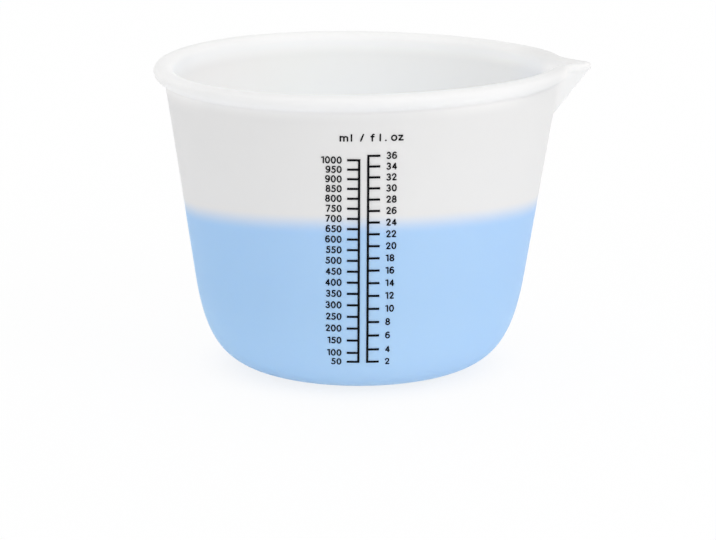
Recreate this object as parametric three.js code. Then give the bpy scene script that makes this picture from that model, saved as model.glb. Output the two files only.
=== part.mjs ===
// A soft silicone measuring cup: one moulded shell with a rounded bottom, a beaded rim and a
// pouring spout, and the two printed scales on its front.
// Millimetres, +Z up. The origin is the centre of the base's underside, on the cup's axis.
// The spout points along +X and the scales face -Y.

import * as THREE from 'three';

// Shell
const cupHeight = 115.7;
const rimRadius = 73.85; // outer face of the wall at the height of the bead's centre
const wallThickness = 2.1; // where the round corner ends
const rimWallThickness = 3.4; // at the bead: the wall grows evenly up to it
const baseRadius = 32.6; // the flat that the cup stands on
const baseThickness = 5.8;

// Round corner between the flat base and the straight wall
const cornerRadius = 62.1; // outer face of the wall where the corner ends
const cornerHeight = 34.7;
const cornerBaseHandle = 18.9; // how far the curve leaves the base along the floor
const cornerWallHandle = 24.8; // how far down the curve follows the wall

// Bead around the rim
const beadHeight = 5.6;
const beadOutside = 3.5; // how far the bead stands out of the wall
const beadInside = 0.4; // how far it stands into the cup
const beadEase = 8.0; // height over which the inner face runs out into the bead
const beadFillet = 0.9; // how far the bead's underside runs on down the wall
const undersideFullness = 3; // how full and round the underside is
const undersideRunout = 1.5; // how gently it meets the wall: 1 would leave a crease

// Pouring spout
const spoutReach = 10.6; // how far the wall is drawn out at the rim
const spoutHalfWidth = 19.0; // half the width of the spout at the rim
const spoutFootHalfWidth = 4.0; // half its width at its lower end
const spoutFootHeight = 94.0;
const spoutFlankPower = 2.1; // hollow flanks: 1 would make them straight
const spoutRidgeRounding = 0.05; // share of the half width that is rounded at the ridge
const lipHeight = 3.0; // the bead's height at the spout's tip
const lipOutside = 0.6; // how far the lip stands out of the wall at the tip
const lipFadeStart = 1.05; // where the bead starts to fade, in half widths from the ridge
const lipFadeEnd = 0.45; // where it has become the thin lip

// The soft rim isn't level: it sags from the full height by another depth at each place
const rimSag = 1.1; // mean depth
const rimTilt = 0.25; // how much less it is at the spout, and more opposite
const rimTwist = 0.7; // how much less it is at the front right and back left, and more between them
const rimDip = 0.2; // how much less it is at the front, and more at the back
const sagPower = 8; // how quickly the sag fades down the wall: 1 would spread it evenly
const spoutDroop = 0.9; // how much further the spout's tip hangs down
const cupLean = 1.25; // how far the rim stands over towards the spout

// Printed scales
const nominalCapacity = 1000; // millilitres
const millilitreStep = 50;
const fluidOunce = 28.413; // millilitres in an imperial fluid ounce
const fluidOunceCapacity = 36;
const fluidOunceStep = 2;
const scaleRimClearance = 12.0; // least height between the top mark and the bead
const lowestMarkHeight = 14.6; // below this the wall turns under, so the lowest marks sit here
const spineSpacing = 3.18; // between the two upright lines
const spineWidth = 0.64;
const tickLength = 4.2; // from the middle of the upright line to the free end
const tickThickness = 0.6;
const printThickness = 0.35;
const printGap = 0.3; // between the wall and the print's back
const scaleAzimuth = -Math.PI / 2;

// How finely the curves are cut
const cornerSteps = 8;
const wallSteps = 2;
const spoutSteps = 7;
const beadSteps = 7;
const undersideSteps = 4;
const easeSteps = 3;
const spoutColumns = 26; // close together across the spout
const roundColumns = 62; // over the rest of the round
const volumeSteps = 60;
const bisectionPasses = 40;

const cubicMillimetres = 1000; // in a millilitre

const smoothstep = THREE.MathUtils.smoothstep;
const lerp = THREE.MathUtils.lerp;

// The place between 0 and 1 up to which a growing quantity is still below its target.
function bisect(isBelow) {
  let low = 0;
  let high = 1;
  for (let pass = 0; pass < bisectionPasses; pass += 1) {
    const middle = (low + high) / 2;
    if (isBelow(middle)) {
      low = middle;
    } else {
      high = middle;
    }
  }
  return low;
}

// Outer profile
const beadCentreHeight = cupHeight - beadHeight / 2;
const wallSlope = (rimRadius - cornerRadius) / (beadCentreHeight - cornerHeight);
const corner = new THREE.CubicBezierCurve(
  new THREE.Vector2(baseRadius, 0),
  new THREE.Vector2(baseRadius + cornerBaseHandle, 0),
  new THREE.Vector2(cornerRadius - cornerWallHandle * wallSlope, cornerHeight - cornerWallHandle),
  new THREE.Vector2(cornerRadius, cornerHeight),
);

function wallRadius(height) {
  return rimRadius + (height - beadCentreHeight) * wallSlope;
}

// The wall's thickness at a height, measured level.
function wallBreadth(height) {
  const rise = (height - cornerHeight) / (beadCentreHeight - cornerHeight);
  return lerp(wallThickness, rimWallThickness, rise) * Math.hypot(1, wallSlope);
}

// The point of the outer profile at a height, with its outward direction.
function outerFace(height) {
  if (height >= cornerHeight) {
    const outward = new THREE.Vector2(1, -wallSlope).normalize();
    return { point: new THREE.Vector2(wallRadius(height), height), outward };
  }
  const place = bisect((t) => corner.getPoint(t).y < height);
  const along = corner.getTangent(place);
  return { point: corner.getPoint(place), outward: new THREE.Vector2(along.y, -along.x) };
}

// The inner corner: the outer one moved inwards by a thickness that grows towards the base.
function innerCornerPoint(t) {
  const along = corner.getTangent(t);
  const thickness = lerp(baseThickness, wallThickness, smoothstep(t, 0, 1));
  return corner.getPoint(t).add(new THREE.Vector2(-along.y, along.x).multiplyScalar(thickness));
}

// How far the spout draws the wall out at a place on it.
function spoutDraw(azimuth, height) {
  const rise = THREE.MathUtils.clamp((height - spoutFootHeight) / (beadCentreHeight - spoutFootHeight), 0, 1);
  const halfWidth = lerp(spoutFootHalfWidth, spoutHalfWidth, rise);
  const aside = (Math.abs(azimuth) * rimRadius) / halfWidth;
  const rounded = Math.hypot(aside, spoutRidgeRounding) - spoutRidgeRounding;
  return spoutReach * rise * Math.max(0, 1 - rounded) ** spoutFlankPower;
}

// How far the soft wall has settled at a place on it. The bead goes down whole.
function sagAt(azimuth, height) {
  const rise = Math.min(1, height / (cupHeight - beadHeight));
  const wave = rimTilt * Math.cos(azimuth) - rimTwist * Math.sin(2 * azimuth) - rimDip * Math.sin(azimuth);
  const droop = spoutDroop * Math.sqrt(spoutDraw(azimuth, height) / spoutReach);
  return (rimSag - wave) * rise ** sagPower + droop;
}

// The place in space of a point of the section at an azimuth, with the soft wall settled and leaning.
function settledPlace(azimuth, radius, height) {
  const lean = (cupLean * height) / beadCentreHeight;
  return [radius * Math.cos(azimuth) + lean, radius * Math.sin(azimuth), height - sagAt(azimuth, height)];
}

// The bead's half ellipse and its underside at an azimuth: it thins to a plain lip at the spout's tip.
function beadAt(azimuth) {
  const aside = (Math.abs(azimuth) * rimRadius) / spoutHalfWidth;
  const fade = 1 - smoothstep(aside, lipFadeEnd, lipFadeStart);
  const outside = lerp(beadOutside, lipOutside, fade);
  const inside = lerp(beadInside, 0, fade);
  const halfHeight = lerp(beadHeight, lipHeight, fade) / 2;
  const height = cupHeight - halfHeight;
  const halfWidth = (outside + wallBreadth(height) + inside) / 2;
  const foot = height - halfHeight * (1 + beadFillet / (beadHeight / 2));
  return { outside, inside, halfWidth, halfHeight, centre: outside - halfWidth, height, foot };
}

// Evenly spaced values from one end to the other, without the first.
function steps(from, to, count) {
  return Array.from({ length: count }, (_, i) => lerp(from, to, (i + 1) / count));
}

// The cup's whole section at an azimuth, from the axis under the base to the axis inside.
function sectionAt(azimuth) {
  const bead = beadAt(azimuth);
  const easeFoot = bead.height - beadEase;
  const points = [new THREE.Vector2(0, 0), corner.getPoint(0)];
  for (const t of steps(0, 1, cornerSteps)) {
    points.push(corner.getPoint(t));
  }
  const outerHeights = [
    ...steps(cornerHeight, spoutFootHeight, wallSteps),
    ...steps(spoutFootHeight, bead.foot, spoutSteps),
  ];
  for (const height of outerHeights) {
    points.push(new THREE.Vector2(wallRadius(height) + spoutDraw(azimuth, height), height));
  }
  for (const share of steps(1, 0, undersideSteps)) {
    const height = lerp(bead.height, bead.foot, share);
    const offset = bead.outside * (1 - share ** undersideFullness) ** undersideRunout;
    points.push(new THREE.Vector2(wallRadius(height) + spoutDraw(azimuth, height) + offset, height));
  }
  for (const angle of steps(0, Math.PI, beadSteps)) {
    const height = bead.height + bead.halfHeight * Math.sin(angle);
    const offset = bead.centre + bead.halfWidth * Math.cos(angle);
    points.push(new THREE.Vector2(wallRadius(height) + spoutDraw(azimuth, height) + offset, height));
  }
  for (const share of steps(0, 1, easeSteps)) {
    const height = lerp(bead.height, easeFoot, share);
    const offset = wallBreadth(height) + bead.inside * (0.5 + 0.5 * Math.cos(Math.PI * share));
    points.push(new THREE.Vector2(wallRadius(height) + spoutDraw(azimuth, height) - offset, height));
  }
  const innerCornerTop = innerCornerPoint(1).y;
  const innerHeights = [
    ...steps(easeFoot, spoutFootHeight, spoutSteps - easeSteps),
    ...steps(spoutFootHeight, innerCornerTop, wallSteps),
  ];
  for (const height of innerHeights) {
    const radius = wallRadius(height) + spoutDraw(azimuth, height) - wallBreadth(height);
    points.push(new THREE.Vector2(radius, height));
  }
  for (const t of steps(1, 0, cornerSteps)) {
    points.push(innerCornerPoint(t));
  }
  points.push(new THREE.Vector2(0, baseThickness));
  return points;
}

// The azimuths of the mesh's columns, once around and between -pi and pi: close together at the spout.
function columnAzimuths() {
  const spoutSector = (Math.max(1, lipFadeStart) * spoutHalfWidth) / rimRadius;
  const around = [
    ...steps(-spoutSector, spoutSector, spoutColumns),
    ...steps(spoutSector, 2 * Math.PI - spoutSector, roundColumns),
  ];
  return around.map((azimuth) => (azimuth > Math.PI ? azimuth - 2 * Math.PI : azimuth));
}

function shellGeometry() {
  const azimuths = columnAzimuths();
  const sections = azimuths.map(sectionAt);
  const columns = azimuths.length;
  const rings = sections[0].length - 2; // the two ends lie on the axis
  const positions = [];
  sections.forEach((section, column) => {
    for (const point of section.slice(1, -1)) {
      positions.push(...settledPlace(azimuths[column], point.x, point.y));
    }
  });
  const under = positions.length / 3;
  positions.push(...settledPlace(0, 0, 0));
  const inside = under + 1;
  positions.push(...settledPlace(0, 0, baseThickness));
  const indices = [];
  for (let column = 0; column < columns; column += 1) {
    const here = column * rings;
    const next = ((column + 1) % columns) * rings;
    indices.push(under, next, here);
    for (let ring = 0; ring < rings - 1; ring += 1) {
      indices.push(here + ring, next + ring, next + ring + 1);
      indices.push(here + ring, next + ring + 1, here + ring + 1);
    }
    indices.push(here + rings - 1, next + rings - 1, inside);
  }
  const geometry = new THREE.BufferGeometry();
  geometry.setAttribute('position', new THREE.Float32BufferAttribute(positions, 3));
  geometry.setIndex(indices);
  geometry.computeVertexNormals();
  return geometry;
}

// The inner profile away from the spout, from the bottom up, for working out volumes.
const easeFootHeight = beadCentreHeight - beadEase;
const innerProfile = [
  new THREE.Vector2(0, baseThickness),
  innerCornerPoint(0),
  ...steps(0, 1, volumeSteps).map(innerCornerPoint),
  new THREE.Vector2(wallRadius(easeFootHeight) - wallBreadth(easeFootHeight), easeFootHeight),
];

function frustumVolume(lower, upper) {
  const area = lower.x ** 2 + lower.x * upper.x + upper.x ** 2;
  return (Math.PI / 3) * area * (upper.y - lower.y);
}

// The height to which a volume in millilitres fills the cup, or null where it doesn't fit.
function fillHeight(millilitres) {
  let left = millilitres * cubicMillimetres;
  for (let i = 1; i < innerProfile.length; i += 1) {
    const lower = innerProfile[i - 1];
    const upper = innerProfile[i];
    const slice = frustumVolume(lower, upper);
    if (left > slice) {
      left -= slice;
      continue;
    }
    const share = bisect((t) => frustumVolume(lower, lower.clone().lerp(upper, t)) < left);
    return lerp(lower.y, upper.y, share);
  }
  return null;
}

// The heights of a scale's marks, from the lowest up. A mark that would run into another is left out.
function markHeights(unit, step, capacity) {
  const highest = cupHeight - beadHeight - scaleRimClearance;
  const heights = [];
  for (let amount = step; amount <= capacity; amount += step) {
    const filled = fillHeight(amount * unit);
    const height = Math.max(filled ?? highest, lowestMarkHeight);
    const clearOfLast = heights.length === 0 || height - heights.at(-1) > 2 * tickThickness;
    if (height < highest && clearOfLast) {
      heights.push(height);
    }
  }
  return heights;
}

// A place on the front of the cup: across and up in millimetres, proud of the wall.
function onWall(across, height, proud) {
  const { point, outward } = outerFace(height);
  const azimuth = scaleAzimuth + across / point.x;
  return settledPlace(azimuth, point.x + outward.x * proud, point.y + outward.y * proud);
}

// A thin solid that lies on the wall and fills the chosen cells of a grid.
function printedCells(columnEdges, rowEdges, isFilled) {
  const width = columnEdges.length;
  const layer = width * rowEdges.length;
  const positions = [];
  for (const proud of [printGap, printGap + printThickness]) {
    for (const height of rowEdges) {
      for (const across of columnEdges) {
        positions.push(...onWall(across, height, proud));
      }
    }
  }
  const indices = [];
  const quad = (a, b, c, d) => indices.push(a, b, c, a, c, d);
  const filled = (column, row) => {
    const inGrid = column >= 0 && row >= 0 && column < width - 1 && row < rowEdges.length - 1;
    return inGrid && isFilled(column, row);
  };
  for (let row = 0; row < rowEdges.length - 1; row += 1) {
    for (let column = 0; column < width - 1; column += 1) {
      if (filled(column, row)) {
        const lowLeft = row * width + column;
        const lowRight = lowLeft + 1;
        const highLeft = lowLeft + width;
        const highRight = highLeft + 1;
        quad(lowLeft + layer, lowRight + layer, highRight + layer, highLeft + layer);
        quad(lowLeft, highLeft, highRight, lowRight);
        if (!filled(column - 1, row)) quad(highLeft, lowLeft, lowLeft + layer, highLeft + layer);
        if (!filled(column + 1, row)) quad(lowRight, highRight, highRight + layer, lowRight + layer);
        if (!filled(column, row - 1)) quad(lowLeft, lowRight, lowRight + layer, lowLeft + layer);
        if (!filled(column, row + 1)) quad(highRight, highLeft, highLeft + layer, highRight + layer);
      }
    }
  }
  return compactGeometry(positions, indices);
}

// A geometry that holds only the vertices that its triangles use.
function compactGeometry(positions, indices) {
  const used = [...new Set(indices)];
  const place = new Map(used.map((vertex, i) => [vertex, i]));
  const kept = used.flatMap((vertex) => positions.slice(3 * vertex, 3 * vertex + 3));
  const geometry = new THREE.BufferGeometry();
  geometry.setAttribute('position', new THREE.Float32BufferAttribute(kept, 3));
  geometry.setIndex(indices.map((vertex) => place.get(vertex)));
  geometry.computeVertexNormals();
  return geometry;
}

// An upright line with its marks on one side: -1 puts them on the left, +1 on the right.
function scaleGeometry(heights, side) {
  const spine = (side * spineSpacing) / 2;
  const columnEdges = [
    spine - (side * spineWidth) / 2,
    spine + (side * spineWidth) / 2,
    spine + side * tickLength,
  ].sort((a, b) => a - b);
  const spineColumn = side < 0 ? 1 : 0;
  const rowEdges = heights.flatMap((height) => [height - tickThickness / 2, height + tickThickness / 2]);
  return printedCells(columnEdges, rowEdges, (column, row) => column === spineColumn || row % 2 === 0);
}

const silicone = new THREE.MeshStandardMaterial({ color: 0xeceef0, roughness: 0.45, metalness: 0 });
const ink = new THREE.MeshStandardMaterial({ color: 0x101113, roughness: 0.6, metalness: 0 });

function namedMesh(name, geometry, material) {
  const mesh = new THREE.Mesh(geometry, material);
  mesh.name = name;
  return mesh;
}

const millilitreHeights = markHeights(1, millilitreStep, nominalCapacity);
const fluidOunceHeights = markHeights(fluidOunce, fluidOunceStep, fluidOunceCapacity);

const printing = new THREE.Group();
printing.add(namedMesh('millilitre_scale', scaleGeometry(millilitreHeights, -1), ink));
printing.add(namedMesh('fluid_ounce_scale', scaleGeometry(fluidOunceHeights, 1), ink));

const measuringCup = new THREE.Group();
measuringCup.add(namedMesh('cup_body', shellGeometry(), silicone));
measuringCup.add(printing);

export default measuringCup;
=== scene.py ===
import math
from bisect import bisect_left

import bpy
from mathutils import Euler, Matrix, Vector


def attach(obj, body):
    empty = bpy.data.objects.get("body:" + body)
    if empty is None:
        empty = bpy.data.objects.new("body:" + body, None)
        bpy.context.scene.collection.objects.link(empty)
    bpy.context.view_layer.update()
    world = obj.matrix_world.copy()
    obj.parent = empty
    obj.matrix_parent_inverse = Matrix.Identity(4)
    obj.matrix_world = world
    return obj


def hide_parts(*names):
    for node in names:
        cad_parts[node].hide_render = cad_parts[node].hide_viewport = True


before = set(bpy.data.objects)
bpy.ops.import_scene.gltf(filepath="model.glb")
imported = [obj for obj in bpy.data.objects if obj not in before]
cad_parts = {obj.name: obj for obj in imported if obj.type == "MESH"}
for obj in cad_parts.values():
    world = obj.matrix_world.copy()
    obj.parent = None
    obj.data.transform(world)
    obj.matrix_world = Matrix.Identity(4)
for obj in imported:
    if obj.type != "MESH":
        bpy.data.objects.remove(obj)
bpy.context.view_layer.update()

# A silicone measuring cup, two thirds full of blue liquid. Metres, +Z up.
# The origin is the middle of the base's underside. The spout points along +X, the scales face -Y.

MM = 0.001
MILLILITRE = 1e-6  # in cubic metres

# Shell
CUP_HEIGHT = 115.7 * MM
RIM_RADIUS = 73.85 * MM  # outer face of the wall at the height of the bead's middle
WALL = 2.1 * MM  # where the round corner ends
RIM_WALL = 3.4 * MM  # at the bead
BASE_RADIUS = 32.6 * MM
BASE_THICKNESS = 5.8 * MM
CORNER_RADIUS = 62.1 * MM
CORNER_HEIGHT = 34.7 * MM
CORNER_BASE_HANDLE = 18.9 * MM
CORNER_WALL_HANDLE = 24.8 * MM

# Bead around the rim
BEAD_HEIGHT = 5.6 * MM
BEAD_OUTSIDE = 3.5 * MM
BEAD_INSIDE = 0.4 * MM
BEAD_EASE = 8.0 * MM
BEAD_FILLET = 0.9 * MM
UNDERSIDE_FULLNESS = 3
UNDERSIDE_RUNOUT = 1.5

# Pouring spout
SPOUT_REACH = 10.6 * MM
SPOUT_HALF_WIDTH = 19.0 * MM
SPOUT_FOOT_HALF_WIDTH = 4.0 * MM
SPOUT_FOOT_HEIGHT = 94.0 * MM
SPOUT_FLANK_POWER = 2.1
SPOUT_RIDGE_ROUNDING = 0.05
LIP_HEIGHT = 3.0 * MM
LIP_OUTSIDE = 0.6 * MM
LIP_FADE_START = 1.05
LIP_FADE_END = 0.45

# The soft rim isn't level: it sags from the full height by another depth at each place
RIM_SAG = 1.1 * MM
RIM_TILT = 0.25 * MM  # less at the spout
RIM_TWIST = 0.7 * MM  # less at the front right and back left
RIM_DIP = 0.2 * MM  # less at the front
SAG_POWER = 8
SPOUT_DROOP = 0.9 * MM
CUP_LEAN = 1.25 * MM  # how far the rim stands over towards the spout

# Printed scales
FLUID_OUNCE = 28.413
MILLILITRES = range(50, 1001, 50)
FLUID_OUNCES = range(2, 37, 2)
LOWEST_MARK = 14.6 * MM
SPINE_SPACING = 3.18 * MM
SPINE_WIDTH = 0.8 * MM
TICK_LENGTH = 4.2 * MM
TICK_WIDTH = 0.78 * MM
BAR_THICKNESS = 0.24 * MM  # half of it stands over the wall
BAR_STEP = 1.2 * MM
DIGIT_HEIGHT = 2.68 * MM
DIGIT_PEN = 0.52 * MM
DIGIT_GAP = 0.3 * MM
MILLILITRE_INSET = 7.7 * MM  # from the middle of the two scales to the nearest edge of a number
FLUID_OUNCE_INSET = 8.0 * MM
HEADING_BASE = 98.4 * MM
HEADING_HEIGHT = 2.9 * MM
HEADING_PEN = 0.56 * MM
INK_FLATNESS = 0.45  # the ink's height over the wall as a share of the pen's radius
PEN_STEP = 0.5 * MM  # the longest straight piece of a stroke, so that it can follow the wall
CAP_ANGLES = (30, 60, 88)  # degrees round a stroke's end
SCALE_AZIMUTH = -math.pi / 2
PRINT_ASIDE = 0.22 * MM  # how far the print sits to the left of the front's middle
PRINT_DROP = 0.2 * MM  # and below its true heights
PRINT_LEAN = 0.01  # the print sits a hair askew,
PRINT_LEAN_HEIGHT = 62 * MM  # turned about this height

# Liquid
LIQUID_LEVEL = 67.0 * MM
LIQUID_GAP = 0.05 * MM  # between the liquid and the inner wall
MENISCUS = 1.1 * MM  # how far the liquid climbs at the wall
MENISCUS_REACH = 4 * MENISCUS  # and how far from the wall that begins

# The liquid's edge as the milky wall shows it
LINE_FADE = (-3.8 * MM, 4.2 * MM)  # the colour fades over these heights about the level
LINE_SIDE_DIP = 3.4 * MM  # it shows less high where the wall turns away at the sides,
LINE_EDGE_DIP = 1.5 * MM  # and less again at their very middle
LINE_TILT = 0.6 * MM  # a little more so at the left than at the spout
LINE_WAVER = 1.6 * MM

# How finely the curves are cut
COLUMNS = 360
COLUMN_CROWDING = 0.78  # draws the columns together at the spout
CORNER_STEPS = 30
WALL_STEPS = 8
SPOUT_STEPS = 16
BEAD_STEPS = 16
UNDERSIDE_STEPS = 12
EASE_STEPS = 8
TABLE_STEPS = 400
INNER_STEPS = 60
LIQUID_COLUMNS = 180
MENISCUS_STEPS = 10
FILL_ROUNDS = 40
MERGE_DISTANCE = 1e-6
RING_DISTANCE = 1e-9  # a stroke whose ends are nearer to each other than this is a ring

# Places along the section, counted from the axis under the base
BEAD_PLACE = 2 + CORNER_STEPS + WALL_STEPS + SPOUT_STEPS
BEAD_MIDDLE_PLACE = BEAD_PLACE + UNDERSIDE_STEPS
CREST_PLACE = BEAD_MIDDLE_PLACE + BEAD_STEPS / 2
INSIDE_PLACE = BEAD_MIDDLE_PLACE + BEAD_STEPS

# Milky silicone, as red, green and blue. Only the wall's tone is its own colour; the bead, crest, spout and
# inside carry painted light and shade. A pair is the two ends of a change.
WALL_MILK = ((0.83, 0.825, 0.82), (0.855, 0.85, 0.845))
# Painted light on the bead: lighter than the wall to even out its shade, most at the left, where the key
# lamp reaches least, and greyer at the spout
BEAD_PAINTED_LIGHT = ((0.975, 0.972, 0.97), (0.925, 0.922, 0.92))  # from left to right
BEAD_PAINTED_SHADE_AT_SPOUT = (0.865, 0.862, 0.86)
# Painted shade on the bead's crest, which the light from above makes too bright: darkest at the front,
# lighter at the left end and in the middle of the back, darkest at the spout
CREST_PAINTED_SHADE_FRONT = ((0.815, 0.813, 0.81), (0.83, 0.828, 0.825))
CREST_PAINTED_LIGHT_LEFT = (0.86, 0.858, 0.855)
CREST_PAINTED_LIGHT_BACK = ((0.863, 0.861, 0.858), (0.835, 0.833, 0.83))  # from the middle to the sides
CREST_PAINTED_SHADE_AT_SPOUT = (0.77, 0.767, 0.765)
# Painted light: the spout's flank beyond the fold, lighter than the wall
SPOUT_PAINTED_LIGHT = (0.93, 0.92, 0.91)
# Painted light on the inside: lighter and warmer than the wall, for light through the walls and against the
# blue bounced from the liquid, with painted shade at the left and the spout
INNER_PAINTED_LIGHT = ((0.96, 0.93, 0.89), (0.975, 0.945, 0.905))
INNER_PAINTED_SHADE_LEFT = (0.905, 0.88, 0.85)
INNER_PAINTED_SHADE_AT_SPOUT = (0.93, 0.925, 0.92)

# Where its painted light and shade change: from one distance or height to another
LEFT_TO_RIGHT = (-80 * MM, 60 * MM)
FRONT_TO_BACK = (-30 * MM, 30 * MM)
INNER_LEFT = (-75 * MM, 5 * MM)
SPOUT_FOLD = (70.5 * MM, 75.5 * MM)
SPOUT_RISE = (80 * MM, 92 * MM)

# Blue seen through the wall, with painted light: lighter towards the right, and a painted glow that lifts
# its shade low down and at the foot
LIQUID_TINT_AND_PAINTED_LIGHT = ((0.438, 0.662, 0.953), (0.492, 0.7, 0.999))  # from left to right
LIQUID_TINT_SIDES_AND_PAINTED_LIGHT = ((0.395, 0.63, 0.955), (0.408, 0.63, 0.975))
LIQUID_GLOW = (0.01, 0.018, 0.05)
LIQUID_GLOW_LOW = (0.05, 0.068, 0.078)
LIQUID_GLOW_FOOT = (0.145, 0.165, 0.165)
LIQUID_LOW = (2 * MM, 40 * MM)  # the heights over which each of these fades
LIQUID_FOOT = (0, 5 * MM)

# Painted glow in the silicone that lifts its shade: most on the thick bead, a warm trace on the inner wall
NO_GLOW = (0, 0, 0)
INNER_GLOW = (0.018, 0.004, 0)
BEAD_GLOW = (1, 0.95, 0.88)
CREST_GLOW = 0.12  # strength under the crest on the inside
CREST_GLOW_CHANGE = 0.035  # more towards the spout, less at the left end
UNDERSIDE_GLOW = 0.012
UNDERSIDE_GLOW_RIGHT = 0.065
LEFT_FACE_GLOW = 0.045

# Other colours
INK = ((0.001, 0.001, 0.002), (0.006, 0.006, 0.008))
LIQUID = ((0.6, 0.78, 0.965), (0.65, 0.82, 0.975))
PAPER = ((0.95, 0.95, 0.95), (0.97, 0.97, 0.97))
WHITE = (1, 1, 1, 1)

# Light and floor
ROOM_LIGHT = 0.78
LAMP_AIM = (0, 0, 0.06)
FLOOR_SIZE = 12
FLOOR_GLOW = (0.78, 0.93, 0.98)  # share of plain white in the floor under, beside and far from the cup
FLOOR_BESIDE = (38 * MM, 66 * MM)  # distances from the axis over which that share changes
FLOOR_FAR = (120 * MM, 500 * MM)

# Camera
PHOTO_WIDTH = 716
PHOTO_HEIGHT = 540
FOCAL_PIXELS = 2719.2
CAMERA_DISTANCE = 1.0
CAMERA_HEIGHT = 0.27747
CAMERA_TURN = math.radians(1.0)
AIM_HEIGHT = 0.05
AIM_PIXEL = (358.8, 230.25)  # where the photograph shows the axis at the aim height


def lerp(a, b, t):
    return a + (b - a) * t


def clamp(value, low=0.0, high=1.0):
    return max(low, min(high, value))


def smoothstep(value, low, high):
    t = clamp((value - low) / (high - low))
    return t * t * (3 - 2 * t)


def steps(start, end, count):
    """Evenly spaced values from one end to the other, without the first."""
    return [lerp(start, end, (i + 1) / count) for i in range(count)]


# The cup's section, as the solid has it

BEAD_MIDDLE = CUP_HEIGHT - BEAD_HEIGHT / 2
WALL_SLOPE = (RIM_RADIUS - CORNER_RADIUS) / (BEAD_MIDDLE - CORNER_HEIGHT)
CORNER = (
    Vector((BASE_RADIUS, 0)),
    Vector((BASE_RADIUS + CORNER_BASE_HANDLE, 0)),
    Vector((CORNER_RADIUS - CORNER_WALL_HANDLE * WALL_SLOPE, CORNER_HEIGHT - CORNER_WALL_HANDLE)),
    Vector((CORNER_RADIUS, CORNER_HEIGHT)),
)


def corner_point(t):
    a, b, c, d = CORNER
    return (1 - t) ** 3 * a + 3 * (1 - t) ** 2 * t * b + 3 * (1 - t) * t ** 2 * c + t ** 3 * d


def corner_direction(t):
    a, b, c, d = CORNER
    along = (1 - t) ** 2 * (b - a) + 2 * (1 - t) * t * (c - b) + t ** 2 * (d - c)
    return along.normalized()


def inner_corner_point(t):
    along = corner_direction(t)
    thickness = lerp(BASE_THICKNESS, WALL, smoothstep(t, 0, 1))
    return corner_point(t) + Vector((-along.y, along.x)) * thickness


def wall_radius(height):
    return RIM_RADIUS + (height - BEAD_MIDDLE) * WALL_SLOPE


def wall_breadth(height):
    """The wall's thickness at a height, measured level."""
    rise = (height - CORNER_HEIGHT) / (BEAD_MIDDLE - CORNER_HEIGHT)
    return lerp(WALL, RIM_WALL, rise) * math.hypot(1, WALL_SLOPE)


def spout_draw(azimuth, height):
    """How far the spout draws the wall out at a place on it."""
    rise = clamp((height - SPOUT_FOOT_HEIGHT) / (BEAD_MIDDLE - SPOUT_FOOT_HEIGHT))
    half_width = lerp(SPOUT_FOOT_HALF_WIDTH, SPOUT_HALF_WIDTH, rise)
    aside = abs(azimuth) * RIM_RADIUS / half_width
    rounded = math.hypot(aside, SPOUT_RIDGE_ROUNDING) - SPOUT_RIDGE_ROUNDING
    return SPOUT_REACH * rise * max(0, 1 - rounded) ** SPOUT_FLANK_POWER


def section_at(azimuth):
    """The cup's whole section, from the axis under the base to the axis inside."""
    aside = abs(azimuth) * RIM_RADIUS / SPOUT_HALF_WIDTH
    fade = 1 - smoothstep(aside, LIP_FADE_END, LIP_FADE_START)
    outside = lerp(BEAD_OUTSIDE, LIP_OUTSIDE, fade)
    inside = lerp(BEAD_INSIDE, 0, fade)
    half_height = lerp(BEAD_HEIGHT, LIP_HEIGHT, fade) / 2
    bead_height = CUP_HEIGHT - half_height
    half_width = (outside + wall_breadth(bead_height) + inside) / 2
    centre = outside - half_width
    bead_foot = bead_height - half_height * (1 + BEAD_FILLET / (BEAD_HEIGHT / 2))
    ease_foot = bead_height - BEAD_EASE

    def outer(height, offset=0):
        return (wall_radius(height) + spout_draw(azimuth, height) + offset, height)

    def inner(height, stand=0):
        return outer(height, -wall_breadth(height) - stand)

    points = [(0, 0), (BASE_RADIUS / 2, 0), tuple(corner_point(0))]
    points += [tuple(corner_point(t)) for t in steps(0, 1, CORNER_STEPS)]
    points += [outer(h) for h in steps(CORNER_HEIGHT, SPOUT_FOOT_HEIGHT, WALL_STEPS)]
    points += [outer(h) for h in steps(SPOUT_FOOT_HEIGHT, bead_foot, SPOUT_STEPS)]
    for share in steps(1, 0, UNDERSIDE_STEPS):
        stand = outside * (1 - share ** UNDERSIDE_FULLNESS) ** UNDERSIDE_RUNOUT
        points.append(outer(lerp(bead_height, bead_foot, share), stand))
    for angle in steps(0, math.pi, BEAD_STEPS):
        height = bead_height + half_height * math.sin(angle)
        points.append(outer(height, centre + half_width * math.cos(angle)))
    for share in steps(0, 1, EASE_STEPS):
        stand = inside * (0.5 + 0.5 * math.cos(math.pi * share))
        points.append(inner(lerp(bead_height, ease_foot, share), stand))
    corner_top = inner_corner_point(1).y
    points += [inner(h) for h in steps(ease_foot, SPOUT_FOOT_HEIGHT, SPOUT_STEPS)]
    points += [inner(h) for h in steps(SPOUT_FOOT_HEIGHT, corner_top, WALL_STEPS)]
    points += [tuple(inner_corner_point(t)) for t in steps(1, 0, CORNER_STEPS)]
    points += [(inner_corner_point(0).x / 2, BASE_THICKNESS), (0, BASE_THICKNESS)]
    return points


CORNER_TABLE = [corner_point(i / TABLE_STEPS) for i in range(TABLE_STEPS + 1)]
CORNER_HEIGHTS = [point.y for point in CORNER_TABLE]


def outer_face(height):
    """The wall's outer face at a height: its radius and its outward direction."""
    if height >= CORNER_HEIGHT:
        return wall_radius(height), Vector((1, -WALL_SLOPE)).normalized()
    above = max(1, bisect_left(CORNER_HEIGHTS, height))
    low, high = CORNER_TABLE[above - 1], CORNER_TABLE[above]
    share = (height - low.y) / (high.y - low.y)
    along = (high - low).normalized()
    return lerp(low.x, high.x, share), Vector((along.y, -along.x))


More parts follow.
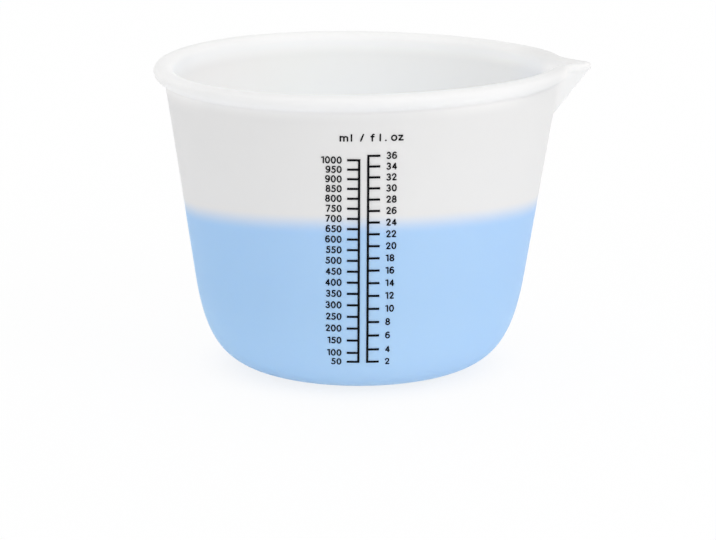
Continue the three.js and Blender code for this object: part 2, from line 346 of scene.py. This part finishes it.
def inner_outline():
    """The inner face away from the spout, from the middle of the bottom up."""
    top = BEAD_MIDDLE - BEAD_EASE
    points = [Vector((0, BASE_THICKNESS)), inner_corner_point(0)]
    points += [inner_corner_point(t) for t in steps(0, 1, INNER_STEPS)]
    points.append(Vector((wall_radius(top) - wall_breadth(top), top)))
    return points


def frustum(lower, upper):
    """The volume between two levels of a turned outline."""
    area = lower.x ** 2 + lower.x * upper.x + upper.x ** 2
    return math.pi / 3 * area * (upper.y - lower.y)


def fill_height(millilitres):
    """The height to which a volume fills the cup."""
    left = millilitres * MILLILITRE
    outline = inner_outline()
    for lower, upper in zip(outline, outline[1:]):
        if left > frustum(lower, upper):
            left -= frustum(lower, upper)
            continue
        low, high = 0, 1
        for _ in range(FILL_ROUNDS):
            middle = (low + high) / 2
            if frustum(lower, lower.lerp(upper, middle)) < left:
                low = middle
            else:
                high = middle
        return lerp(lower.y, upper.y, low)
    raise ValueError("the cup is too small for its scale")


def leaning(x, y, z):
    """A point of the upright cup where the leaning cup holds it."""
    return (x + CUP_LEAN * z / BEAD_MIDDLE, y, z)


def settled(x, y, z):
    """A point of the level cup where the soft cup holds it. The bead goes down whole."""
    azimuth = math.atan2(y, x)
    rise = min(1, z / (CUP_HEIGHT - BEAD_HEIGHT))
    wave = RIM_TILT * math.cos(azimuth) - RIM_TWIST * math.sin(2 * azimuth) - RIM_DIP * math.sin(azimuth)
    droop = SPOUT_DROOP * math.sqrt(spout_draw(azimuth, z) / SPOUT_REACH)
    x, y, _ = leaning(x, y, z)
    return (x, y, z - (RIM_SAG - wave) * rise ** SAG_POWER - droop)


# Tools of the bench

def only(piece):
    """Selects one piece and nothing else."""
    bpy.ops.object.select_all(action="DESELECT")
    piece.select_set(True)
    bpy.context.view_layer.objects.active = piece


def new_object(name, data):
    piece = bpy.data.objects.new(name, data)
    bpy.context.scene.collection.objects.link(piece)
    return piece


def finish_piece(piece, material):
    piece.data.materials.clear()
    piece.data.materials.append(material)
    only(piece)
    bpy.ops.object.shade_smooth()
    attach(piece, "root")


def move_points(piece, where):
    """Sends each point of a piece's mesh to where a function puts it."""
    for vertex in piece.data.vertices:
        vertex.co = where(*vertex.co)
    piece.data.update()


def turned(name, outline, columns):
    """An outline in the XZ plane, drawn out of one point and turned once around the cup's axis."""
    bpy.ops.object.select_all(action="DESELECT")
    bpy.ops.mesh.primitive_plane_add(size=1 * MM, location=(0, 0, 0))
    piece = bpy.context.object
    piece.name = name
    bpy.ops.object.mode_set(mode="EDIT")
    bpy.ops.mesh.select_all(action="SELECT")
    bpy.ops.mesh.merge(type="CENTER")
    bpy.ops.transform.translate(value=(outline[0][0], 0, outline[0][1]))
    for start, end in zip(outline, outline[1:]):
        step = (end[0] - start[0], 0, end[1] - start[1])
        bpy.ops.mesh.extrude_region_move(TRANSFORM_OT_translate={"value": step})
    bpy.ops.object.mode_set(mode="OBJECT")
    place = piece.data.attributes.new("section_place", "FLOAT", "POINT")
    place.data.foreach_set("value", range(len(outline)))
    bpy.ops.object.mode_set(mode="EDIT")
    bpy.ops.mesh.select_all(action="SELECT")
    bpy.ops.mesh.spin(steps=columns, angle=2 * math.pi, center=(0, 0, 0), axis=(0, 0, 1))
    bpy.ops.mesh.select_all(action="SELECT")
    bpy.ops.mesh.remove_doubles(threshold=MERGE_DISTANCE)
    bpy.ops.mesh.normals_make_consistent(inside=False)
    bpy.ops.object.mode_set(mode="OBJECT")
    return piece


# Finishes

class Wire:
    """An output socket that does arithmetic: each operator adds a Math node."""

    def __init__(self, finish, socket):
        self.finish = finish
        self.socket = socket

    def math(self, operation, *values):
        return self.finish.node("ShaderNodeMath", {"operation": operation}, dict(enumerate(values)))

    def __add__(self, other):
        return self.math("ADD", self, other)

    def __sub__(self, other):
        return self.math("SUBTRACT", self, other)

    def __rsub__(self, other):
        return self.math("SUBTRACT", other, self)

    def __mul__(self, other):
        return self.math("MULTIPLY", self, other)

    def __truediv__(self, other):
        return self.math("DIVIDE", self, other)

    def root(self):
        return self.math("SQRT", self)

    __radd__ = __add__
    __rmul__ = __mul__


class Finish:
    """The nodes of one material, or of the studio's light."""

    def __init__(self, owner):
        owner.use_nodes = True
        self.owner = owner
        self.tree = owner.node_tree
        self.tree.nodes.clear()

    def node(self, kind, settings=None, inputs=None, output=0):
        node = self.tree.nodes.new(kind)
        for name, value in (settings or {}).items():
            setattr(node, name, value)
        for name, value in (inputs or {}).items():
            if isinstance(value, Wire):
                self.tree.links.new(value.socket, node.inputs[name])
            else:
                node.inputs[name].default_value = value
        return Wire(self, node.outputs[output])

    def place(self):
        """The Object coordinates, whole and as three numbers."""
        point = self.node("ShaderNodeTexCoord", output="Object")
        split = self.node("ShaderNodeSeparateXYZ", inputs={0: point}).socket.node
        return point, *(Wire(self, split.outputs[i]) for i in range(3))

    def distance_out(self, across, back):
        """How far a place is from the cup's axis."""
        return (across * across + back * back).root()

    def noise(self, point, scale, detail=2.0, roughness=0.5):
        values = {"Vector": point, "Scale": scale, "Detail": detail, "Roughness": roughness}
        return self.node("ShaderNodeTexNoise", inputs=values)

    def blend(self, factor, first, second):
        """Two colours mixed. Each is a link, or red, green and blue."""
        first, second = (colour if isinstance(colour, Wire) else (*colour, 1) for colour in (first, second))
        return self.node("ShaderNodeMix", {"data_type": "RGBA"}, {0: factor, 6: first, 7: second}, output=2)

    def ramp(self, value, low, high):
        """0 below low, 1 above high, smooth between."""
        values = {"Value": value, "From Min": low, "From Max": high}
        return self.node("ShaderNodeMapRange", {"interpolation_type": "SMOOTHSTEP"}, values)

    def band(self, value, rise, fall):
        """1 between a rise and a fall, 0 outside them, smooth in both."""
        return self.ramp(value, *rise) * (1 - self.ramp(value, *fall))

    def bump(self, height, strength, distance):
        values = {"Strength": strength, "Distance": distance, "Height": height}
        return self.node("ShaderNodeBump", inputs=values)

    def principled(self, values):
        return self.node("ShaderNodeBsdfPrincipled", inputs=values)

    def seen(self):
        """1 for what the camera, a reflection or clear liquid shows, 0 for light on its way."""
        rays = ("Is Camera Ray", "Is Glossy Ray", "Is Transmission Ray")
        camera_ray, glossy_ray, clear_ray = (self.node("ShaderNodeLightPath", output=ray) for ray in rays)
        return camera_ray + glossy_ray + clear_ray

    def close(self, shader, kind="ShaderNodeOutputMaterial"):
        output = self.tree.nodes.new(kind)
        self.tree.links.new(shader.socket, output.inputs["Surface"])
        return self.owner


class ShellFinish(Finish):
    """The silicone's nodes, with the places on the cup that its colours, its painted light and shade and
    its painted glows follow.
    """

    def __init__(self):
        super().__init__(bpy.data.materials.new("milky_silicone"))
        self.point, self.across, self.back, self.height = self.place()
        self.section = self.node("ShaderNodeAttribute", {"attribute_name": "section_place"}, output="Fac")
        # -1 at the far left, 0 at the front and back, 1 at the spout
        self.side = self.across / self.distance_out(self.across, self.back)
        self.cloud = self.noise(self.point, scale=16, detail=3)
        self.right = self.ramp(self.across, *LEFT_TO_RIGHT)
        self.at_spout = self.ramp(self.side, 0.82, 0.95)
        self.inside = self.ramp(self.section, CREST_PLACE + 4, INSIDE_PLACE + EASE_STEPS)

    def bead_milk(self):
        """The bead's outer face in painted light: lighter than the wall to even out its shade, lightest at
        the left and painted greyer at the spout.
        """
        milk = self.blend(self.right, *BEAD_PAINTED_LIGHT)
        return self.blend(self.ramp(self.side, 0.6, 0.92), milk, BEAD_PAINTED_SHADE_AT_SPOUT)

    def crest_milk(self):
        """The bead's crest in painted shade, with its front, left end, back and spout each a painted shade
        apart.
        """
        front = self.blend(self.cloud, *CREST_PAINTED_SHADE_FRONT)
        front = self.blend(self.ramp(self.side, -0.95, -0.5), CREST_PAINTED_LIGHT_LEFT, front)
        back = self.blend(self.ramp(self.side * self.side, 0.1, 0.5), *CREST_PAINTED_LIGHT_BACK)
        crest = self.blend(self.ramp(self.back, *FRONT_TO_BACK), front, back)
        return self.blend(self.at_spout, crest, CREST_PAINTED_SHADE_AT_SPOUT)

    def inner_milk(self):
        """The inside in painted light, lighter and warmer than the wall, and a painted shade darker at the
        left and at the spout.
        """
        inner = self.blend(self.cloud, *INNER_PAINTED_LIGHT)
        inner = self.blend(self.ramp(self.across, *INNER_LEFT), INNER_PAINTED_SHADE_LEFT, inner)
        return self.blend(self.at_spout, inner, INNER_PAINTED_SHADE_AT_SPOUT)

    def milk(self):
        """The silicone's colour, from the wall over the bead and the spout to the inside: the wall's own
        milky tone, then painted light and shade on the bead, crest, spout and inside.
        """
        bead = self.ramp(self.section, BEAD_PLACE - 5, BEAD_PLACE + 5)
        # Painted light on the spout's flank beyond the fold
        spout = self.ramp(self.across, *SPOUT_FOLD) * self.ramp(self.height, *SPOUT_RISE)
        crest = self.ramp(self.section, BEAD_MIDDLE_PLACE, CREST_PLACE - 1)
        milk = self.blend(bead, self.blend(self.cloud, *WALL_MILK), self.bead_milk())
        milk = self.blend(spout, milk, SPOUT_PAINTED_LIGHT)
        milk = self.blend(crest, milk, self.crest_milk())
        return self.blend(self.inside, milk, self.inner_milk())

    def milk_glow(self):
        """Painted glow that lifts the shade on the bead, under its crest, in the crease of its underside
        and on its face at the left, with a warm trace on the inside.
        """
        more = CREST_GLOW_CHANGE * self.ramp(self.side, 0.6, 0.9)
        less = CREST_GLOW_CHANGE * self.ramp(-1 * self.side, 0.84, 0.97)
        turn = INSIDE_PLACE + 1
        crest = self.band(self.section, (CREST_PLACE, turn), (turn, INSIDE_PLACE + EASE_STEPS - 1))
        crest = crest * (CREST_GLOW + more - less)
        rise = (UNDERSIDE_GLOW_RIGHT - UNDERSIDE_GLOW) * self.ramp(self.side, 0.1, 0.6)
        fall = UNDERSIDE_GLOW_RIGHT * self.ramp(self.side, 0.65, 0.9)
        foot, middle = BEAD_PLACE, BEAD_MIDDLE_PLACE
        underside = self.band(self.section, (foot - 5, foot), (middle - 6, middle + 2))
        underside = underside * (UNDERSIDE_GLOW + rise - fall)
        face = self.band(self.section, (foot - 8, foot - 2), (middle + 2, CREST_PLACE))
        face = face * self.ramp(-1 * self.side, 0.72, 0.92) * LEFT_FACE_GLOW
        inner_glow = self.blend(self.inside, NO_GLOW, INNER_GLOW)
        return self.blend(crest + underside + face, inner_glow, BEAD_GLOW)

    def liquid_seen(self):
        """1 where the liquid shows through the wall, 0 above its level and on the inside."""
        square = self.side * self.side
        fourth = square * square
        dip = square * LINE_SIDE_DIP + fourth * fourth * LINE_EDGE_DIP - self.side * LINE_TILT
        line = self.height + dip + (self.cloud - 0.5) * LINE_WAVER
        low, high = LINE_FADE
        return (1 - self.ramp(line, LIQUID_LEVEL + low, LIQUID_LEVEL + high)) * (1 - self.inside)

    # The liquid's blue with painted light: lighter towards the right, and a little different at the sides
    def liquid_tint(self):
        middle = self.blend(self.right, *LIQUID_TINT_AND_PAINTED_LIGHT)
        sides = self.blend(self.right, *LIQUID_TINT_SIDES_AND_PAINTED_LIGHT)
        return self.blend(self.side * self.side, middle, sides)

    def liquid_glow(self):
        """Painted glow in the blue that lifts its shade, more of it low down and most at the foot."""
        low = 1 - self.ramp(self.height, *LIQUID_LOW)
        foot = 1 - self.ramp(self.height, *LIQUID_FOOT)
        return self.blend(foot, self.blend(low, LIQUID_GLOW, LIQUID_GLOW_LOW), LIQUID_GLOW_FOOT)


def silicone():
    """Milky satin silicone, with the lit liquid showing through the wall below its level, and with painted
    light, shade and glow in its colour and emission.
    """
    finish = ShellFinish()
    blue = finish.liquid_seen()
    grain = finish.noise(finish.point, scale=1400)
    return finish.close(finish.principled({
        "Base Color": finish.blend(blue, finish.milk(), finish.liquid_tint()),
        "Roughness": 0.55 + 0.1 * finish.cloud,
        "IOR": 1.41,
        "Specular IOR Level": 0.2,
        "Subsurface Weight": 0.6,
        "Subsurface Radius": (1.0, 1.0, 1.0),
        "Subsurface Scale": 2.5 * MM,
        "Emission Color": finish.blend(blue, finish.milk_glow(), finish.liquid_glow()),
        "Emission Strength": 1.0,
        "Normal": finish.bump(grain, strength=0.05, distance=0.05 * MM),
    }))


def printing_ink():
    """Slightly raised black ink, thinner in places."""
    finish = Finish(bpy.data.materials.new("printing_ink"))
    point, *_ = finish.place()
    cover = finish.noise(point, scale=900, detail=3)
    grain = finish.noise(point, scale=6000)
    return finish.close(finish.principled({
        "Base Color": finish.blend(cover, *INK),
        "Roughness": 0.6 + 0.2 * cover,
        "Specular IOR Level": 0.06,
        "Normal": finish.bump(grain, strength=0.15, distance=0.02 * MM),
    }))


def blue_liquid():
    """Clear pale blue liquid with a little body."""
    finish = Finish(bpy.data.materials.new("blue_liquid"))
    point, *_ = finish.place()
    cloud = finish.noise(point, scale=14, detail=1)
    ripple = finish.noise(point, scale=30, detail=1)
    return finish.close(finish.principled({
        "Base Color": finish.blend(cloud, *LIQUID),
        "Roughness": 0.03 + 0.03 * cloud,
        "IOR": 1.34,
        "Normal": finish.bump(ripple, strength=0.03, distance=1.0 * MM),
    }))


# The cup

def cup_shell(material):
    """The shell: a turned section, then each column drawn out to the spout's shape."""
    shell = turned("silicone_shell", section_at(math.pi), COLUMNS)
    places = [round(item.value) for item in shell.data.attributes["section_place"].data]
    sections = {}
    for vertex, place in zip(shell.data.vertices, places):
        azimuth = math.atan2(vertex.co.y, vertex.co.x)
        azimuth -= COLUMN_CROWDING * math.sin(azimuth)
        key = round(azimuth, 6)
        if key not in sections:
            sections[key] = section_at(azimuth)
        radius, height = sections[key][place]
        vertex.co = settled(radius * math.cos(azimuth), radius * math.sin(azimuth), height)
    shell.data.update()
    finish_piece(shell, material)
    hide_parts("cup_body")


def liquid_body(material):
    """The liquid: it fills the inside up to its level and climbs a little at the wall."""
    outline = [(0, BASE_THICKNESS + LIQUID_GAP)]
    for point in inner_outline()[1:]:
        if point.y < LIQUID_LEVEL - MENISCUS:
            outline.append((point.x - LIQUID_GAP, point.y + LIQUID_GAP))
    reach = wall_radius(LIQUID_LEVEL) - wall_breadth(LIQUID_LEVEL) - LIQUID_GAP
    for share in steps(0, 1, MENISCUS_STEPS):
        climb = MENISCUS * (1 - share) ** 3
        outline.append((reach - share * MENISCUS_REACH, LIQUID_LEVEL + climb))
    outline += [(reach / 2, LIQUID_LEVEL), (0, LIQUID_LEVEL)]
    liquid = turned("liquid", outline, LIQUID_COLUMNS)
    move_points(liquid, leaning)
    finish_piece(liquid, material)


# The print: drawn flat, x across and z up, then laid on the wall

def laid_on_wall(x, y, z):
    """A point of the flat drawing on the cup's front: across, back and up."""
    z -= PRINT_DROP
    radius, outward = outer_face(z)
    lean = (z - PRINT_LEAN_HEIGHT) * PRINT_LEAN
    azimuth = SCALE_AZIMUTH + (x - lean - PRINT_ASIDE) / radius
    reach = radius - outward.x * y
    return settled(reach * math.cos(azimuth), reach * math.sin(azimuth), z - outward.y * y)


def print_on_wall(piece, material, replaced=None):
    """Lays a flat drawing on the wall and finishes it as ink."""
    move_points(piece, laid_on_wall)
    finish_piece(piece, material)
    if replaced:
        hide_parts(replaced)


def draw_bar(start, end, width):
    """A flat bar in the drawing's plane, level or upright, in steps that can follow the wall."""
    upright = start[0] == end[0]
    turn = (0, 0, 0) if upright else (0, math.pi / 2, 0)
    place = (start[0], 0, start[1])
    bpy.ops.mesh.primitive_plane_add(size=1, location=place, rotation=turn)
    size = (width, BAR_THICKNESS, 1) if upright else (1, BAR_THICKNESS, width)
    bpy.ops.transform.resize(value=size, center_override=place)
    count = math.ceil(math.dist(start, end) / BAR_STEP)
    step = ((end[0] - start[0]) / count, 0, (end[1] - start[1]) / count)
    for _ in range(count):
        bpy.ops.mesh.extrude_region_move(TRANSFORM_OT_translate={"value": step})


def scale_marks(name, marks, side, material, replaced):
    """The upright line of one scale with its marks."""
    bpy.ops.object.select_all(action="DESELECT")
    bpy.ops.mesh.primitive_plane_add(size=1)
    piece = bpy.context.object
    piece.name = name
    bpy.ops.object.mode_set(mode="EDIT")
    bpy.ops.mesh.select_all(action="SELECT")
    bpy.ops.mesh.delete(type="VERT")
    spine = side * SPINE_SPACING / 2
    edge = spine + side * SPINE_WIDTH / 2
    end = spine + side * TICK_LENGTH
    draw_bar((spine, marks[0] - TICK_WIDTH / 2), (spine, marks[-1] + TICK_WIDTH / 2), SPINE_WIDTH)
    for height in marks:
        draw_bar((edge, height), (end, height), TICK_WIDTH)
    bpy.ops.mesh.select_all(action="SELECT")
    bpy.ops.mesh.normals_make_consistent(inside=False)
    bpy.ops.object.mode_set(mode="OBJECT")
    print_on_wall(piece, material, replaced)


def arc(x, z, half_width, half_height, start, end, count=12):
    """Points of an elliptic arc; angles in degrees, anticlockwise from +x."""
    angles = [math.radians(lerp(start, end, i / count)) for i in range(count + 1)]
    return [(x + half_width * math.cos(a), z + half_height * math.sin(a)) for a in angles]


# Each sign as pen strokes in a box one unit high, and its width
SIGNS = {
    "0": (0.66, [arc(0.33, 0.5, 0.245, 0.417, 90, 450, 28)]),
    "1": (0.38, [[(0.06, 0.845), (0.16, 0.86), (0.28, 0.917), (0.28, 0.1)]]),
    "2": (0.62, [arc(0.3, 0.68, 0.21, 0.237, 170, -30, 14) + [(0.1, 0.1), (0.54, 0.1)]]),
    "3": (0.6, [
        arc(0.275, 0.7, 0.195, 0.217, 150, -90, 14),
        arc(0.275, 0.29, 0.23, 0.207, 90, -150, 14),
    ]),
    "4": (0.65, [[(0.45, 0.083), (0.45, 0.9), (0.09, 0.3), (0.58, 0.3)]]),
    "5": (0.6, [[(0.49, 0.9), (0.18, 0.9), (0.14, 0.53)] + arc(0.265, 0.343, 0.25, 0.26, 110, -140, 16)]),
    "6": (0.65, [
        arc(0.325, 0.335, 0.24, 0.25, 90, 450, 24),
        arc(0.365, 0.5, 0.28, 0.417, 200, 60, 12),
    ]),
    "7": (0.62, [[(0.09, 0.9), (0.54, 0.9), (0.23, 0.083)]]),
    "8": (0.64, [
        arc(0.32, 0.71, 0.19, 0.207, -90, 270, 22),
        arc(0.32, 0.29, 0.235, 0.21, 90, 450, 24),
    ]),
    "9": (0.65, [
        arc(0.325, 0.665, 0.24, 0.25, 90, 450, 24),
        arc(0.285, 0.5, 0.28, 0.417, 20, -120, 12),
    ]),
    "m": (1.0, [
        [(0.08, 0.09), (0.08, 0.69)],
        arc(0.295, 0.44, 0.215, 0.22, 180, 0, 12) + [(0.51, 0.09)],
        arc(0.725, 0.44, 0.215, 0.22, 180, 0, 12) + [(0.94, 0.09)],
    ]),
    "l": (0.16, [[(0.08, 0.09), (0.08, 0.91)]]),
    "/": (0.47, [[(0.08, 0.09), (0.39, 0.91)]]),
    "f": (0.45, [
        [(0.2, 0.09), (0.2, 0.74)] + arc(0.37, 0.74, 0.17, 0.18, 175, 80, 8),
        [(0.07, 0.63), (0.39, 0.63)],
    ]),
    ".": (0.17, [[(0.07, 0.12), (0.1, 0.12)]]),
    "o": (0.76, [arc(0.38, 0.4, 0.297, 0.32, 90, 450, 24)]),
    "z": (0.65, [[(0.08, 0.68), (0.56, 0.68), (0.08, 0.1), (0.58, 0.1)]]),
}

# The widely spaced letters over the scales, with the places of their left edges
HEADING = (
    ("m", -8.42), ("l", -4.55), ("/", -1.31),
    ("f", 2.35), ("l", 5.47), (".", 7.41), ("o", 9.48), ("z", 12.02),
)


def sign_strokes(sign, left, low, size):
    """A sign's strokes at their place and size in the drawing, in steps that can follow the wall."""
    strokes = []
    for stroke in SIGNS[sign][1]:
        placed = [(left + x * size, low + z * size) for x, z in stroke]
        strokes.append(in_short_steps(placed))
    return strokes


def in_short_steps(stroke):
    points = [stroke[0]]
    for start, end in zip(stroke, stroke[1:]):
        count = max(1, math.ceil(math.dist(start, end) / PEN_STEP))
        points += [tuple(Vector(start).lerp(Vector(end), i / count)) for i in range(1, count + 1)]
    return points


def number_strokes(text, edge, side, middle):
    """The strokes of a number that ends (side -1) or starts (side +1) at an edge."""
    widths = [SIGNS[digit][0] * DIGIT_HEIGHT for digit in text]
    length = sum(widths) + DIGIT_GAP * (len(text) - 1)
    left = edge - length if side < 0 else edge
    strokes = []
    for digit, width in zip(text, widths):
        strokes += sign_strokes(digit, left, middle - DIGIT_HEIGHT / 2, DIGIT_HEIGHT)
        left += width + DIGIT_GAP
    return strokes


def end_cap(before, tip, radius):
    """The round end of a stroke: places beyond its tip with the pen's size at each."""
    direction = (Vector(tip) - Vector(before)).normalized()
    cap = []
    for degrees in CAP_ANGLES:
        turn = math.radians(degrees)
        place = Vector(tip) + direction * radius * math.sin(turn)
        cap.append((place.x, place.y, math.cos(turn)))
    return cap


def pen_strokes(name, strokes, width, material):
    """Strokes of a round pen, flattened to a low ridge of ink and laid on the wall."""
    radius = width / 2
    curve = bpy.data.curves.new(name, "CURVE")
    curve.dimensions = "3D"
    curve.bevel_depth = radius
    curve.bevel_resolution = 2
    curve.use_fill_caps = True
    for stroke in strokes:
        closed = math.dist(stroke[0], stroke[-1]) < RING_DISTANCE
        points = [(x, z, 1.0) for x, z in stroke]
        if closed:
            points.pop()
        else:
            start = end_cap(stroke[1], stroke[0], radius)
            points = start[::-1] + points + end_cap(stroke[-2], stroke[-1], radius)
        spline = curve.splines.new("POLY")
        spline.points.add(len(points) - 1)
        spline.use_cyclic_u = closed
        for target, (x, z, size) in zip(spline.points, points):
            target.co = (x, 0, z, 1)
            target.radius = size
    only(new_object(name, curve))
    bpy.ops.object.convert(target="MESH")
    piece = bpy.context.object
    move_points(piece, lambda x, y, z: (x, y * INK_FLATNESS, z))
    print_on_wall(piece, material)


def printed_scale(name, amounts, unit, side, inset, material, replaced):
    """One scale: its line and marks, and the numbers beside them."""
    heights = [max(LOWEST_MARK, fill_height(amount * unit)) for amount in amounts]
    scale_marks(name + "_marks", heights, side, material, replaced)
    numbers = []
    for amount, height in zip(amounts, heights):
        numbers += number_strokes(str(amount), side * inset, side, height)
    pen_strokes(name + "_numbers", numbers, DIGIT_PEN, material)


def heading(material):
    """The units over the two scales."""
    strokes = []
    for sign, left in HEADING:
        strokes += sign_strokes(sign, left * MM, HEADING_BASE, HEADING_HEIGHT)
    pen_strokes("unit_heading", strokes, HEADING_PEN, material)


# Stage

def white_paper():
    """Bright paper that keeps a soft shadow."""
    finish = Finish(bpy.data.materials.new("white_paper"))
    point, across, back, _ = finish.place()
    cloud = finish.noise(point, scale=3)
    out = finish.distance_out(across, back)
    beside = finish.ramp(out, *FLOOR_BESIDE)
    far = finish.ramp(out, *FLOOR_FAR)
    under_glow, beside_glow, far_glow = FLOOR_GLOW
    glow = under_glow + beside * (beside_glow - under_glow) + far * (far_glow - beside_glow)
    paper = finish.principled({"Base Color": finish.blend(cloud, *PAPER), "Roughness": 0.6})
    white = finish.node("ShaderNodeEmission", inputs={"Color": WHITE, "Strength": 1.0})
    mixed = finish.node("ShaderNodeMixShader", inputs={0: finish.seen() * glow, 1: paper, 2: white})
    return finish.close(mixed)


def stage():
    bpy.ops.object.select_all(action="DESELECT")
    bpy.ops.mesh.primitive_plane_add(size=FLOOR_SIZE, location=(0, 0, 0))
    floor = bpy.context.object
    floor.name = "floor"
    floor.data.materials.append(white_paper())


def area_lamp(name, place, size, power):
    """A round soft lamp turned towards the cup."""
    lamp = bpy.data.lights.new(name, "AREA")
    lamp.shape = "DISK"
    lamp.size = size
    lamp.energy = power
    holder = new_object(name, lamp)
    holder.location = place
    holder.rotation_euler = (Vector(LAMP_AIM) - Vector(place)).to_track_quat("-Z", "Y").to_euler()


def lights():
    """An even white room, a large soft lamp overhead and another at the upper right."""
    world = bpy.data.worlds.new("studio")
    bpy.context.scene.world = world
    room = Finish(world)
    light = room.node("ShaderNodeBackground", inputs={"Color": WHITE, "Strength": ROOM_LIGHT})
    white = room.node("ShaderNodeBackground", inputs={"Color": WHITE, "Strength": 1.0})
    mixed = room.node("ShaderNodeMixShader", inputs={0: room.seen(), 1: light, 2: white})
    room.close(mixed, "ShaderNodeOutputWorld")
    area_lamp("overhead", place=(0.0, 0.0, 1.8), size=1.4, power=4.0)
    area_lamp("key", place=(1.15, -1.05, 1.3), size=1.2, power=6.7)


def camera():
    """The photograph's camera, from the fitted place and the axis's place in the picture."""
    data = bpy.data.cameras.new("camera")
    data.lens = FOCAL_PIXELS * data.sensor_width / PHOTO_WIDTH
    holder = new_object("camera", data)
    swing = -math.pi / 2 - CAMERA_TURN
    place = Vector((CAMERA_DISTANCE * math.cos(swing), CAMERA_DISTANCE * math.sin(swing), CAMERA_HEIGHT))
    holder.location = place
    look = (Vector((0, 0, AIM_HEIGHT)) - place).to_track_quat("-Z", "Y")
    right = AIM_PIXEL[0] - PHOTO_WIDTH / 2
    down = AIM_PIXEL[1] - PHOTO_HEIGHT / 2
    pitch = math.atan2(down, FOCAL_PIXELS)
    yaw = math.atan2(right, FOCAL_PIXELS)
    holder.rotation_mode = "QUATERNION"
    holder.rotation_quaternion = look @ Euler((pitch, yaw, 0), "XYZ").to_quaternion()
    bpy.context.scene.camera = holder


bpy.ops.object.select_all(action="DESELECT")
bpy.context.scene.view_settings.view_transform = "Standard"
camera()
stage()
lights()

ink = printing_ink()
cup_shell(silicone())
liquid_body(blue_liquid())
printed_scale("millilitre", MILLILITRES, 1, -1, MILLILITRE_INSET, ink, "millilitre_scale")
printed_scale("fluid_ounce", FLUID_OUNCES, FLUID_OUNCE, 1, FLUID_OUNCE_INSET, ink, "fluid_ounce_scale")
heading(ink)
